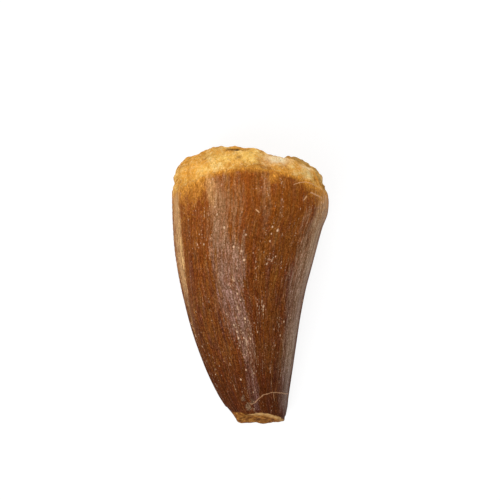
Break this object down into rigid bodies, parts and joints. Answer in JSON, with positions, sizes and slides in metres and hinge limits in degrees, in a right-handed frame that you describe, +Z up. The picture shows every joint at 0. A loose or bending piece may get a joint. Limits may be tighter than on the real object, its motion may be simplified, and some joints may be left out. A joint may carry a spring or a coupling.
{
  "type": "fossil mosasaur tooth",
  "caption": "Broken fossil marine reptile tooth crown, brown ridged enamel over a crumbly ochre bone base, with a snapped-off tip, lying on its side.",
  "frame": {"origin": "on the resting plane, under the middle of the tooth's length and width", "axes": "+Y along the tooth from its broken tip to its broken base; +Z up, through the tooth's thickness as it lies; +X across it, towards the hollow edge, with the bulging edge on -X"},
  "size_m": [0.0238, 0.0422, 0.019],
  "materials": {
    "fossil_tooth": "satin"
  },
  "bodies": {
    "root": {"tooth": "fossil_tooth"}
  },
  "joints": []
}
